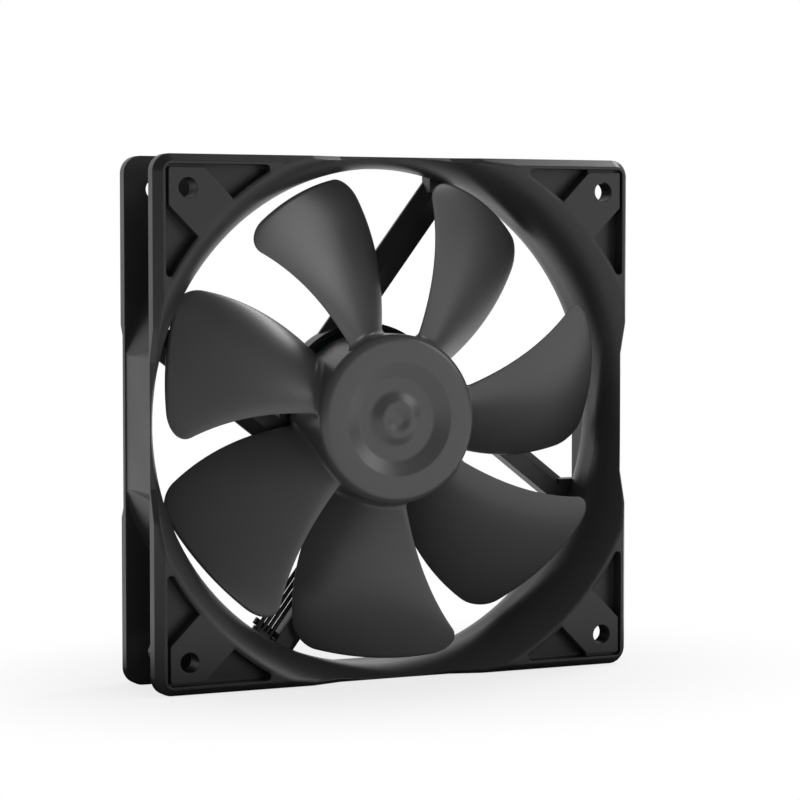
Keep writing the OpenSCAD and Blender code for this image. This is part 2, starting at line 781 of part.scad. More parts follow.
// Plate that the shaft's end would run against
module thrust_plate() {
    color("#d8d4c4") upright() disc(tube_bore_r, thrust_front, thrust_rear);
}

// Rubber plug that closes the tube from the outlet side
module tube_plug() {
    color("#1c1c1e") upright() disc(tube_bore_r, thrust_rear, plug_rear);
}

// Sketch of the stack: ring, arms and shoes
module core_sketch() {
    difference() {
        union() {
            circle(core_ring_r);
            for (i = [0:pole_n - 1]) rotate(pole_turn + i * 360 / pole_n)
                translate([0, -arm_w / 2]) square([shoe_r + shoe_t / 2, arm_w]);
            difference() {
                circle(core_r);
                circle(shoe_r);
                for (i = [0:pole_n - 1]) rotate(pole_turn + (i + 0.5) * 360 / pole_n)
                    translate([0, -slot_w / 2]) square([frame_w, slot_w]);
            }
        }
        circle(tube_r);
    }
}

// Stack of steel laminations on the bearing tube
module stator_core() {
    color("#6e7074") upright() translate([0, 0, level(core_rear)]) linear_extrude(core_t) core_sketch();
}

// Sketch of an insulator: the stack's ring and arms, as far as the coils reach
module insulator_sketch() {
    difference() {
        union() {
            circle(core_ring_r);
            for (i = [0:pole_n - 1]) rotate(pole_turn + i * 360 / pole_n)
                translate([0, -arm_w / 2]) square([core_r - shoe_t / 2, arm_w]);
        }
        circle(tube_r);
    }
}

// Plastic insulator on the stack's front
module front_insulator() {
    color("#e4e0d4") upright() translate([0, 0, level(core_front)])
        linear_extrude(insulator_t) insulator_sketch();
}

// Plastic insulator on the stack's rear, with a skirt that seats on the base's collar
module rear_insulator() {
    color("#e4e0d4") upright() difference() {
        union() {
            translate([0, 0, level(core_rear + insulator_t)]) linear_extrude(insulator_t) insulator_sketch();
            ring(collar_d / 2, tube_r, core_rear + insulator_t / 2, collar_front);
            for (i = [0:pole_n - 1]) rotate(pole_turn + (i + 0.5) * 360 / pole_n)
                translate([core_ring_r - clear, -post_d, level(core_rear + insulator_t)])
                    cube([post_reach + clear + post_d, 2 * post_d, insulator_t]);
        }
        winding_post_bars(post_clearance, clear);
    }
}

// Four bars square to the stator, each in a gap between two coils
module winding_post_bars(growth, extra) {
    for (i = [0:pole_n - 1]) rotate(pole_turn + (i + 0.5) * 360 / pole_n)
        translate([post_circle_r, 0, level(post_rear + extra)])
            cylinder(h = post_rear - post_front + extra, d = post_d + 2 * growth);
}

// Tinned posts that carry the coils' ends to the circuit board
module winding_posts() {
    color("#c8c8c4") upright() winding_post_bars(0, 0);
}

// Sketch of a coil, looking along its arm: a rounded frame round arm and insulators
module coil_sketch() {
    hole = [arm_w + 2 * coil_gap, core_t + 2 * insulator_t + 2 * coil_gap];
    outer = hole + 2 * [coil_side_t, coil_end_t];
    corner = coil_end_t;
    difference() {
        union() {
            square([outer[0] - 2 * corner, outer[1]], center = true);
            square([outer[0], outer[1] - 2 * corner], center = true);
            for (x = [-1, 1], y = [-1, 1])
                translate([x * (outer[0] / 2 - corner), y * (outer[1] / 2 - corner)]) circle(corner);
        }
        square(hole, center = true);
    }
}

// Copper coils, one on each arm
module windings() {
    coil_start = core_ring_r + 0.3;
    coil_half_w = arm_w / 2 + coil_gap + coil_side_t;
    coil_end = sqrt(shoe_r * shoe_r - coil_half_w * coil_half_w) - 0.3;
    color("#a8602c") upright() for (i = [0:pole_n - 1]) rotate(pole_turn + i * 360 / pole_n)
        translate([coil_start, 0, level((core_front + core_rear) / 2)])
            rotate([90, 0, 90]) linear_extrude(coil_end - coil_start) coil_sketch();
}

// Round circuit board, drilled for the winding posts
module circuit_board() {
    color("#1e4a30") upright() difference() {
        ring(board_r, board_hole_r, board_front, board_rear);
        winding_post_bars(post_clearance, clear);
    }
}

// Piece that stands on the circuit board's front, at a radius and an angle
module on_board(radius, angle, size) {
    rotate(angle) translate([radius - size[1] / 2, -size[0] / 2, level(board_front)])
        cube([size[1], size[0], size[2]]);
}

// Sensor that reads the magnet's poles
module hall_sensor() {
    color("#1a1a1c") upright()
        on_board((magnet_r + magnet_bore_r - hall_size[1]) / 2, pole_turn, hall_size);
}

// Driver chip
module driver_chip() {
    color("#202024") upright() on_board(board_hole_r + chip_size[1], pole_turn + 360 / pole_n, chip_size);
}

// Ceramic chip capacitors in a row
module chip_capacitors() {
    color("#b09a78") upright() for (i = [0:capacitor_n - 1])
        on_board(board_hole_r + chip_size[1], pole_turn + 200 + i * 22, capacitor_size);
}

// Lead wires side by side, from under the circuit board along the strut
module lead_wires() {
    wire_start = 8;
    color("#1a1a1c") upright() rotate(lead_angle) for (i = [0:wire_n - 1])
        translate([wire_start, wire_middle + (i - (wire_n - 1) / 2) * wire_pitch, level(wire_depth)])
            rotate([0, 90, 0]) cylinder(h = sleeve_start - wire_start, d = wire_d, $fn = 24);
}

// Shrink sleeve: flat over the row of wires and under the hook, then drawn in to the round cord
module shrink_sleeve() {
    tip_t = 0.4;
    flat_len = 1.5 * hook_w + tip_t;
    color("#141416") upright() rotate(lead_angle) translate([sleeve_start, wire_middle, level(wire_depth)]) {
        translate([0, -shrink_w / 2, -shrink_h / 2]) cube([flat_len, shrink_w, shrink_h]);
        hull($fn = 32) {
            translate([flat_len - tip_t, -shrink_w / 2, -shrink_h / 2]) cube([tip_t, shrink_w, shrink_h]);
            translate([shrink_len - tip_t, 0, 0]) rotate([0, 90, 0])
                cylinder(h = tip_t, d = cord_d + shrink_t);
        }
    }
}

// Free cord: out of the sleeve, in a quarter turn down to the floor, and along it to the hank
lead_dir = [cos(lead_angle), 0, sin(lead_angle)];
lead_exit = [shrink_end * cos(lead_angle) - wire_middle * sin(lead_angle), wire_depth - frame_d / 2,
             shrink_end * sin(lead_angle) + wire_middle * cos(lead_angle)];
cord_points = [[-28.6, 10.8, -55], [-29.8, 12.1, -56.6], [-30.6, 14.2, -57.7], [-30.8, 16.8, -58.1],
               [-30.5, 19.5, -58.1], [-29.5, 22.1, -58.1], [-27.8, 24.4, -58.1], [-25.8, 26.5, -58.1],
               [-23.6, 28.4, -58.1]];
hank_dir = [cos(hank_angle), sin(hank_angle), 0];
hank_side = [-sin(hank_angle), cos(hank_angle), 0];
function hank_place(p, q) = [hank_centre[0], hank_centre[1], hank_z] + p * hank_dir + q * hank_side;
cord_joint = hank_place(-hank_run / 2, -hank_start_w);

// Tube of a given number of sides along a route; the reference stays off the route's direction
function unit(v) = v / norm(v);
function heading(route, i) =
    let (last = len(route) - 1)
    i == 0 ? unit(route[1] - route[0]) :
    i == last ? unit(route[last] - route[last - 1]) :
    unit(unit(route[i] - route[i - 1]) + unit(route[i + 1] - route[i]));
function tube_ring(route, i, radius, sides, reference) =
    let (t = heading(route, i),
         across = unit(cross(t, reference)),
         up = cross(across, t))
    [for (j = [0:sides - 1])
        let (a = 360 * (j + 0.5) / sides)
        route[i] + radius * (cos(a) * across + sin(a) * up)];
module tube(route, diameter, sides, reference) {
    points = [for (i = [0:len(route) - 1]) each tube_ring(route, i, diameter / 2, sides, reference)];
    polyhedron(points, concat(side_faces(len(route), sides), first_cap(sides), last_cap(len(route), sides)));
}

// Hank: loops that spiral in at a steady rate, drawn in alike at the tie, and then run to the plug.
// A turn is a run away from the fan, a fold, a run back and a fold; tau counts turns.
function hank_w(tau) = hank_start_w - hank_step * tau;
function waist(p) = hank_waist * (0.5 + 0.5 * cos(360 * p / hank_run));
function run_point(tau, side, share) =
    let (p = side * (share - 0.5) * hank_run)
    hank_place(p, -side * (hank_w(tau + share / 4) - waist(p)));
function fold_point(tau, side, share) =
    let (w = hank_w(tau + share / 4))
    hank_place(side * (hank_run / 2 + w * sin(180 * share)), -side * w * cos(180 * share));
hank_end_tau = 1.5;
hank_half_q = hank_w(hank_end_tau + 0.125) - hank_waist;
function tail_point(share) =
    hank_place(-hank_tail * share, mix(hank_half_q, hank_tail_q, 0.5 - 0.5 * cos(180 * min(1, share * 1.3))));
function hank_route(runs, folds) = concat(
    [for (half = [0:2], part = [0:1], i = [0:(part == 0 ? runs : folds) - 1])
        let (tau = half / 2, side = half % 2 == 0 ? 1 : -1)
        part == 0 ? run_point(tau, side, i / runs) : fold_point(tau + 0.25, side, i / folds)],
    [for (i = [0:runs / 2 - 1]) run_point(hank_end_tau, -1, i / runs)],
    [for (i = [0:4]) tail_point(i / 4)]);
hank_tube = hank_route(6, 7);
cord_route = concat([lead_exit, lead_exit + cord_d / 2 * lead_dir], cord_points,
                    [cord_joint - cord_d * heading(hank_tube, 0), cord_joint]);

// Least gap of the hank to itself, measured between points of a finer route
fine_route = hank_route(36, 42);
fine_count = len(fine_route);
skip_points = 36;
hank_gap = min([for (i = [0:fine_count - 1 - skip_points], j = [i + skip_points:fine_count - 1])
                norm(fine_route[i] - fine_route[j])]) - cord_d;
function route_length(route, i = 0) =
    i == len(route) - 1 ? 0 : norm(route[i + 1] - route[i]) + route_length(route, i + 1);
echo(str("Least gap of the hank to itself: ", hank_gap, " mm"));
echo(str("Length of the cord: ", route_length(cord_route) + route_length(fine_route), " mm"));

module cord() {
    color("#18181a") tube(cord_route, cord_d, 8, cross(lead_dir, [0, 1, 0]));
}

module cord_hank() {
    color("#18181a") tube(hank_tube, cord_d, 6, [0, 0, 1]);
}

// Tie: a flat band round the hank's waist
module hank_tie() {
    edge_tau = (0.5 - tie_w / 2 / hank_run) / 4;
    right = hank_w(edge_tau) - waist(tie_w / 2) + cord_d / 2;
    left = hank_w(0.5 + edge_tau) - waist(tie_w / 2) + cord_d / 2;
    band_gap = 0.1;
    inside_w = right + left + 2 * band_gap;
    inside_h = cord_d + band_gap;
    color("#101012") translate([hank_centre[0], hank_centre[1], floor_z]) rotate(hank_angle)
        translate([-tie_w / 2, -right - band_gap - tie_t, 0]) difference() {
            cube([tie_w, inside_w + 2 * tie_t, inside_h + 2 * tie_t]);
            translate([-clear, tie_t, tie_t]) cube([tie_w + 2 * clear, inside_w, inside_h]);
        }
}

// Places a piece at the cord's end, with x along the plug and z = 0 on the floor
module at_plug() {
    translate([hank_centre[0], hank_centre[1], floor_z]) rotate(hank_angle)
        translate([-hank_tail, hank_tail_q, 0]) rotate(180) children();
}

// Plug housing: a block with a row of contact openings, a polarising rib and a cord entry
module plug_housing() {
    rib_t = 0.6;
    rib_gap = 2.2;
    slot_len = plug_body_len - plug_floor;
    color("#161618") at_plug() difference() {
        union() {
            translate([0, -plug_body_w / 2, 0]) cube([plug_body_len, plug_body_w, plug_body_h]);
            for (side = [-1, 1]) translate([plug_body_len / 4, side * rib_gap - rib_t / 2, plug_body_h])
                cube([plug_body_len * 3 / 4, rib_t, rib_t]);
        }
        for (i = [0:wire_n - 1])
            translate([plug_body_len - slot_len, (i - (wire_n - 1) / 2) * contact_pitch - contact_w / 2,
                       plug_body_h / 2 - contact_w / 2])
                cube([slot_len + clear, contact_w, contact_w]);
    }
}

// Sockets for the board's pins, each a folded tube in its opening
module plug_contacts() {
    contact_len = plug_body_len - plug_floor - 2 * contact_gap;
    bore_w = contact_w / 2;
    contact_start = plug_floor + contact_gap;
    color("#c0a050") at_plug() for (i = [0:wire_n - 1])
        translate([contact_start, (i - (wire_n - 1) / 2) * contact_pitch, plug_body_h / 2])
            difference() {
                translate([0, -contact_w / 2, -contact_w / 2]) cube([contact_len, contact_w, contact_w]);
                translate([1, -bore_w / 2, -bore_w / 2]) cube([contact_len, bore_w, bore_w]);
            }
}

frame();
impeller();
rotor_yoke();
magnet_ring();
shaft_bush();
shaft();
retaining_clip();
bearing_tube();
bearing_sleeve();
slip_washer();
thrust_plate();
tube_plug();
stator_core();
front_insulator();
rear_insulator();
windings();
winding_posts();
circuit_board();
hall_sensor();
driver_chip();
chip_capacitors();
lead_wires();
shrink_sleeve();
cord();
cord_hank();
hank_tie();
plug_housing();
plug_contacts();
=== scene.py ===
"""Case fan: a moulded frame with a seven-blade rotor, a sleeve-bearing motor and a braided lead."""
import math

import bmesh
import bpy
import numpy as np
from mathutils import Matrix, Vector


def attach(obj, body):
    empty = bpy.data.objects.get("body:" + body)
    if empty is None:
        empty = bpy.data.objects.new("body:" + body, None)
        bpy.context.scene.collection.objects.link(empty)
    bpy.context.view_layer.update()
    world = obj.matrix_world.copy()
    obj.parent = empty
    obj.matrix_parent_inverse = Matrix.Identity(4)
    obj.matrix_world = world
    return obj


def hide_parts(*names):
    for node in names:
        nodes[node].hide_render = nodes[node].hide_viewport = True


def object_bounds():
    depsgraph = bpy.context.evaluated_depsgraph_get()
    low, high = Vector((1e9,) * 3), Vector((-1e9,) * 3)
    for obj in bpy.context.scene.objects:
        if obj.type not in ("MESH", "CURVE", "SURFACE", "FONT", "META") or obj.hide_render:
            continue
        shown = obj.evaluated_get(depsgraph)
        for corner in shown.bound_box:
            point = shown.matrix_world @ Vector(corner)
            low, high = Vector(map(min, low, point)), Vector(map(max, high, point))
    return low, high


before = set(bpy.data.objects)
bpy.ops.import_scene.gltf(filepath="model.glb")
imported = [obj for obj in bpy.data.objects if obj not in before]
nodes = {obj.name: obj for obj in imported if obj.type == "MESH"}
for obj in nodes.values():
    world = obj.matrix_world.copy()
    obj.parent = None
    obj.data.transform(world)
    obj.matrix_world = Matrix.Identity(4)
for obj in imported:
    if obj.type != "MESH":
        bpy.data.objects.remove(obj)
solid_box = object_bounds()
bpy.context.scene.view_settings.view_transform = "Standard"


# View
# The photograph was taken with a long lens from the left of the fan axis, a little above the fan's middle.
# Place, turn and lens come from a fit to the frame's corners, edges and screw holes.
eye = Vector((-0.27389, -0.5742, 0.03842))
eye_yaw = 0.452506
eye_pitch = -0.054123
sight = Vector((math.sin(eye_yaw) * math.cos(eye_pitch), math.cos(eye_yaw) * math.cos(eye_pitch),
                math.sin(eye_pitch)))
camera = bpy.data.objects.new("camera", bpy.data.cameras.new("camera"))
camera.data.sensor_width = 36.0
camera.data.lens = 123.21
camera.data.clip_start = 0.01
camera.location = eye
camera.rotation_euler = sight.to_track_quat("-Z", "Y").to_euler()
bpy.context.scene.collection.objects.link(camera)
bpy.context.scene.camera = camera


# Frame
# One moulding of glass-filled black plastic: two flanges, the duct between them, four struts and the motor base.
# The mould's cavity is spark eroded, which leaves a fine even grain and takes the shine off.
MM = 0.001
NOISE_LOW, NOISE_HIGH = 0.3, 0.7


def linear(colour):
    """sRGB hex to linear RGBA: the inverse of the sRGB curve, one channel at a time."""
    share = [int(colour[i:i + 2], 16) / 255 for i in (1, 3, 5)]
    return [s / 12.92 if s <= 0.04045 else ((s + 0.055) / 1.055) ** 2.4 for s in share] + [1.0]


def add_node(tree_owner, kind, inputs=None, **settings):
    """Adds one node: settings are its attributes, inputs are plain values or other nodes' sockets."""
    node = tree_owner.node_tree.nodes.new(kind)
    for name, value in settings.items():
        setattr(node, name, value)
    for name, value in (inputs or {}).items():
        if isinstance(value, bpy.types.NodeSocket):
            tree_owner.node_tree.links.new(value, node.inputs[name])
        else:
            node.inputs[name].default_value = value
    return node


def set_sockets(material, **sockets):
    """Sets the shader's sockets: plain values are put in, other nodes' outputs are linked."""
    shader = material.node_tree.nodes["Principled BSDF"]
    for name, value in sockets.items():
        socket = shader.inputs[name.replace("_", " ").title().replace("Ior", "IOR")]
        if isinstance(value, bpy.types.NodeSocket):
            material.node_tree.links.new(value, socket)
        else:
            socket.default_value = value


def dress(material, *node_names):
    """Gives the CAD nodes that are named this material."""
    for node_name in node_names:
        nodes[node_name].data.materials.clear()
        nodes[node_name].data.materials.append(material)


def finish(name, dark, light, sheen, patch, grain, depth, edge=0.2, turned=False, **sockets):
    """Material with the character that most finishes share; lengths are in mm.

    Two tones mix in soft patches of noise, the roughness wanders with them between the two ends of sheen, a
    fine relief of the given depth breaks up the gloss, and edges look rounded by a radius. On turned pieces
    the relief lies in rings: it follows the distance from the fan axis plus the distance along it.
    """
    material = bpy.data.materials.new(name)
    material.use_nodes = True
    where = add_node(material, "ShaderNodeTexCoord").outputs["Object"]
    patches = add_node(material, "ShaderNodeTexNoise", {"Vector": where, "Scale": 1 / (patch * MM), "Detail": 3.0})
    tone = add_node(material, "ShaderNodeMix", {"Factor": patches.outputs["Fac"], "A": linear(dark),
                                                "B": linear(light)}, data_type="RGBA")
    gloss = add_node(material, "ShaderNodeMapRange", {"Value": patches.outputs["Fac"], "From Min": NOISE_LOW,
                                                      "From Max": NOISE_HIGH, "To Min": sheen[0],
                                                      "To Max": sheen[1]})
    if turned:
        across = add_node(material, "ShaderNodeVectorMath", {0: where, 1: (1, 0, 1)}, operation="MULTIPLY")
        radius = add_node(material, "ShaderNodeVectorMath", {0: across.outputs[0]}, operation="LENGTH")
        along = add_node(material, "ShaderNodeSeparateXYZ", {0: where})
        ring = add_node(material, "ShaderNodeMath", {0: radius.outputs["Value"], 1: along.outputs["Y"]})
        fine = add_node(material, "ShaderNodeTexNoise", {"W": ring.outputs[0], "Scale": 1 / (grain * MM),
                                                         "Detail": 2.0}, noise_dimensions="1D")
    else:
        fine = add_node(material, "ShaderNodeTexNoise", {"Vector": where, "Scale": 1 / (grain * MM), "Detail": 2.0})
    corner = add_node(material, "ShaderNodeBevel", {"Radius": edge * MM}, samples=6)
    relief = add_node(material, "ShaderNodeBump", {"Height": fine.outputs["Fac"], "Distance": depth * MM,
                                                   "Normal": corner.outputs[0]})
    set_sockets(material, base_color=tone.outputs["Result"], roughness=gloss.outputs["Result"],
                normal=relief.outputs[0], **sockets)
    return material


# Black through and through with a satin sheen, so that its tone is that of the light it mirrors. The real grain
# is about 0.1 mm across; it is drawn at 0.35 mm so that it shows. The intake mouth's lip is rounded more.
EDGE_R = 0.3
LIP_R, LIP_W, LIP_END_Y, LIP_EDGE_R = 63.6, 1.6, -10.5, 1.6
black_pbt = finish("spark-eroded black PBT", "#272728", "#2d2d2e", (0.34, 0.42), 24, 0.35, 0.004, edge=EDGE_R,
                   ior=1.48)
spot = add_node(black_pbt, "ShaderNodeTexCoord").outputs["Object"]
across = add_node(black_pbt, "ShaderNodeVectorMath", {0: spot, 1: (1, 0, 1)}, operation="MULTIPLY")
radius = add_node(black_pbt, "ShaderNodeVectorMath", {0: across.outputs[0]}, operation="LENGTH")
from_lip = add_node(black_pbt, "ShaderNodeMath", {0: radius.outputs["Value"], 1: LIP_R * MM, 2: LIP_W * MM},
                    operation="COMPARE")
depth = add_node(black_pbt, "ShaderNodeSeparateXYZ", {0: spot}).outputs["Y"]
at_face = add_node(black_pbt, "ShaderNodeMath", {0: depth, 1: LIP_END_Y * MM}, operation="LESS_THAN")
on_lip = add_node(black_pbt, "ShaderNodeMath", {0: from_lip.outputs[0], 1: at_face.outputs[0]},
                  operation="MULTIPLY")
round_off = add_node(black_pbt, "ShaderNodeMapRange", {"Value": on_lip.outputs[0], "To Min": EDGE_R * MM,
                                                       "To Max": LIP_EDGE_R * MM})
black_pbt.node_tree.links.new(round_off.outputs["Result"], black_pbt.node_tree.nodes["Bevel"].inputs["Radius"])
dress(black_pbt, "frame")


# Bearing
# A brass tube pressed into the base's collar holds a bronze sleeve sintered from powder and soaked with oil.
# A slip washer lies on the sleeve, a thrust plate behind the shaft, and a rubber plug keeps the oil in.
# Turned brass: yellow, with the fine rings that the tool leaves.
turned_brass = finish("turned brass", "#b08d45", "#c6a55c", (0.22, 0.32), 6, 0.12, 0.004, turned=True,
                      metallic=1.0)
dress(turned_brass, "bearing_tube", "shaft_bush")
# Oiled bronze: brown and dull, with open pores a tenth of a millimetre wide.
dress(finish("oiled sintered bronze", "#5f4630", "#86653f", (0.42, 0.60), 1.5, 0.12, 0.02, metallic=1.0),
      "bearing_sleeve")
# Filled fluoropolymer: waxy and off-white, with almost no gloss.
dress(finish("filled slip plastic", "#d3cdbd", "#e0dbcd", (0.50, 0.60), 4, 0.2, 0.003, ior=1.40),
      "slip_washer", "thrust_plate")
# Nitrile rubber: soft black with a bloom of powder.
dress(finish("moulded nitrile rubber", "#1b1b1c", "#262627", (0.66, 0.80), 3, 0.25, 0.008), "tube_plug")


# Stator
# Steel laminations, stamped and riveted into a stack, with a plastic insulator on each end and a coil of
# enamelled wire on each of the four arms. Tinned posts take the coils' ends to the circuit board.
LAMINATION, JOINT_DEPTH = 0.5, 0.06
WAVES_PER_SCALE = 20 / (2 * math.pi)
# Cut edges of the sheets: dark steel with a line between every two sheets. At a scale of 1 the Wave node draws
# 20 / (2 pi) lines in a metre.
stack_steel = finish("stacked lamination steel", "#5d6064", "#777a7e", (0.34, 0.48), 3, 0.1, 0.004, metallic=1.0)
spot = add_node(stack_steel, "ShaderNodeTexCoord").outputs["Object"]
joint_lines = add_node(stack_steel, "ShaderNodeTexWave",
                       {"Vector": spot, "Scale": 1 / (WAVES_PER_SCALE * LAMINATION * MM)}, bands_direction="Y")
line_relief = add_node(stack_steel, "ShaderNodeBump", {"Height": joint_lines.outputs["Fac"],
                                                       "Distance": JOINT_DEPTH * MM})
set_sockets(stack_steel, normal=line_relief.outputs[0])
dress(stack_steel, "stator_core")
# Glass-filled nylon in black: the same grain as the frame, a little glossier.
dress(finish("black glass-filled nylon", "#222224", "#2b2b2d", (0.36, 0.46), 5, 0.3, 0.005, ior=1.53),
      "front_insulator", "rear_insulator")
# Hot-dipped tin: pale and uneven, where the melt ran.
tinned = finish("hot-dipped tin", "#b4b4ae", "#cfcfca", (0.24, 0.42), 0.8, 0.3, 0.012, metallic=1.0)
dress(tinned, "winding_posts", "plug_contacts")

MERGE_WITHIN = 1e-7
SHARP_ANGLE = math.radians(38)


def new_piece(name, grids, material, body):
    """Object made of grids of points in mm, rows along the piece and columns round it.

    Neighbours are joined by quads, and each end row is closed by a ladder of quads from side to side. Where
    a grid's first and last rows are the same it closes on itself, and rows that shrink to a point or a line
    are merged. The map runs round the piece in its first coordinate and along it, in metres, in its second.
    """
    mesh = bpy.data.meshes.new(name)
    points, faces, map_points = [], [], []
    for grid in grids:
        rows, columns = grid.shape[:2]
        start = sum(len(p) for p in points)
        index = start + np.arange(rows * columns).reshape(rows, columns)
        beside = np.roll(index, -1, axis=1)
        faces += np.stack([index[:-1], index[1:], beside[1:], beside[:-1]], -1).reshape(-1, 4).tolist()
        middle = grid.mean(axis=1)
        along = np.concatenate([[0], np.cumsum(np.linalg.norm(np.diff(middle, axis=0), axis=1))]) * MM
        turn = np.arange(columns) / columns
        u = np.stack([turn, turn, turn + 1 / columns, turn + 1 / columns], -1)
        v = np.stack([along[:-1], along[1:], along[1:], along[:-1]], -1)
        map_points.append(np.stack(np.broadcast_arrays(u[None], v[:, None]), -1).reshape(-1, 2))
        if not np.allclose(grid[0], grid[-1]):
            for row in (index[0], index[-1]):
                ladder = [[row[j], row[j + 1], row[columns - j - 1], row[-j]] for j in range(columns // 2)]
                faces += [[int(k) for k in dict.fromkeys(rung)] for rung in ladder]
                map_points.append(np.zeros((sum(len(dict.fromkeys(rung)) for rung in ladder), 2)))
        points.append(grid.reshape(-1, 3))
    mesh.from_pydata(np.concatenate(points) * MM, [], faces)
    mesh.uv_layers.new(name="along").data.foreach_set("uv", np.concatenate(map_points).ravel())
    shell = bmesh.new()
    shell.from_mesh(mesh)
    bmesh.ops.remove_doubles(shell, verts=shell.verts, dist=MERGE_WITHIN)
    bmesh.ops.recalc_face_normals(shell, faces=shell.faces)
    shell.to_mesh(mesh)
    shell.free()
    mesh.polygons.foreach_set("use_smooth", np.ones(len(mesh.polygons), dtype=bool))
    mesh.set_sharp_from_angle(angle=SHARP_ANGLE)
    mesh.materials.append(material)
    piece = bpy.data.objects.new(name, mesh)
    bpy.context.scene.collection.objects.link(piece)
    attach(piece, body)
    return piece


# Where a point of the fan lies: its distance from the axis, its angle and its depth behind the intake face.
FRAME_DEPTH = 25.0


def around_axis(radius, angle, depth):
    """Point in mm from cylinder coordinates about the fan axis."""
    return np.stack(np.broadcast_arrays(radius * np.cos(angle), depth - FRAME_DEPTH / 2,
                                        radius * np.sin(angle)), -1)


WIRE_TURNS, ROWS_PER_TURN = 15, 6
WIRE_RIDGE = 0.13
COIL_START, COIL_END = 7.5, 12.1
COIL_MIDDLE_DEPTH = 13.5
COIL_HOLE = np.array([2.25, 3.75])
COIL_OUTSIDE = np.array([4.2, 4.9])


def coil(turn):
    """Coil on one arm: a rounded frame round the arm, whose outside is ridged by its turns of wire.

    A point of the section is the direction (cos a, sin a), each part to the power 1/3, times the half sizes.
    The outside stands back by the ridge's height times 1 - |sin| of the number of turns so far, which climbs
    along the arm and once more round it, so that the ridges form one screw.
    """
    a = np.linspace(0, 2 * np.pi, 41)[:-1]
    section = np.sign([np.cos(a), np.sin(a)]) * np.abs([np.cos(a), np.sin(a)]) ** (1 / 3)
    share = np.linspace(0, 1, ROWS_PER_TURN * WIRE_TURNS + 1)[:, None]
    back = WIRE_RIDGE * (1 - np.abs(np.sin(np.pi * (WIRE_TURNS * share + a / (2 * np.pi)))))
    size = COIL_OUTSIDE[:, None, None] - back
    reach = np.broadcast_to(COIL_START + (COIL_END - COIL_START) * share, back.shape)
    hole = COIL_HOLE[:, None, None] + np.zeros((2, 1, len(a)))
    size = np.concatenate([hole, size, hole, hole], axis=1)
    reach = np.concatenate([reach[:1], reach, reach[-1:], reach[:1]])
    side, depth = size * section[:, None]
    x = reach * math.cos(turn) - side * math.sin(turn)
    z = reach * math.sin(turn) + side * math.cos(turn)
    return np.stack([x, COIL_MIDDLE_DEPTH - FRAME_DEPTH / 2 + depth, z], -1)


# Copper wire in clear enamel: red-brown metal under a thin hard gloss.
enamel = finish("enamelled copper wire", "#8f4a26", "#b3673a", (0.28, 0.38), 2, 0.15, 0.004, metallic=1.0,
                coat_weight=0.5, coat_roughness=0.12)
coils = new_piece("wound_coils", [coil(math.radians(45 + 90 * i)) for i in range(4)], enamel, "root")
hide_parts("windings")


# Circuit board
# A round board of glass laminate on the base's ledge, with the sensor that reads the magnet, the chip that
# switches the coils and three chip capacitors. Green solder mask covers the copper.
# Solder mask: dark green, glossy, with the copper under it as paler patches.
dress(finish("solder mask over copper", "#0f2419", "#193c2b", (0.22, 0.32), 2.5, 0.6, 0.01, coat_weight=0.2),
      "circuit_board")
# Moulded epoxy: charcoal with the fine sparkle of its silica.
dress(finish("moulded chip epoxy", "#1c1c1e", "#28282a", (0.48, 0.60), 1, 0.12, 0.006),
      "hall_sensor", "driver_chip")
# Fired ceramic: tan and matt.
dress(finish("fired capacitor ceramic", "#8c7553", "#a88f69", (0.42, 0.55), 0.7, 0.12, 0.004),
      "chip_capacitors")


# Rotor
# A steel yoke pressed from sheet closes the field of a bonded magnet ring. The ground shaft sits in a brass
# bush that is moulded into the hub, and an open spring clip in its groove keeps it from pulling out.
# Zinc-plated sheet: bluish, with the faint cloud of its passivation.
dress(finish("zinc-plated pressed steel", "#8d9298", "#a9adb2", (0.26, 0.40), 8, 0.2, 0.004, metallic=1.0),
      "rotor_yoke")
# Ferrite powder in nylon: charcoal brown, dull, with a fine speckle.
dress(finish("bonded ferrite", "#2c2927", "#3d3936", (0.52, 0.66), 0.8, 0.15, 0.008), "magnet_ring")
# Ground steel: bright, with rings too fine to count.
dress(finish("ground steel", "#b9bcc0", "#cfd2d5", (0.12, 0.20), 5, 0.08, 0.002, turned=True, metallic=1.0),
      "shaft", "retaining_clip")


# Impeller
# One moulding of hub and seven swept blades in the frame's plastic, from a polished mould, so it has more sheen.
# The blades grow out of the hub with a fillet, and their tips are rounded off towards the leading edge.
BLADES = 7
HUB_R = 19.6
ROOT_R, TIP_R = 18.85, 56.0
BLADE_FRONT, BLADE_REAR = 2.6, 18.9
ROOT_FRONT_LOSS, ROOT_REAR_LOSS = 2.0, 1.2
ROOT_ARC, TIP_ARC = 42.0, 38.0
SWEEP, SWEEP_POWER = 12.0, 1.6
BOW, TIP_BOW_LOSS = 2.2, 0.35
ROOT_T, TIP_T = 2.4, 1.3
TIP_CUT_LEN, LEAD_CUT, TRAIL_CUT = 5.0, 0.22, 0.12
TIP_EDGE_R = 0.65
TIP_ROWS_R = 50.0
FILLET = 1.4


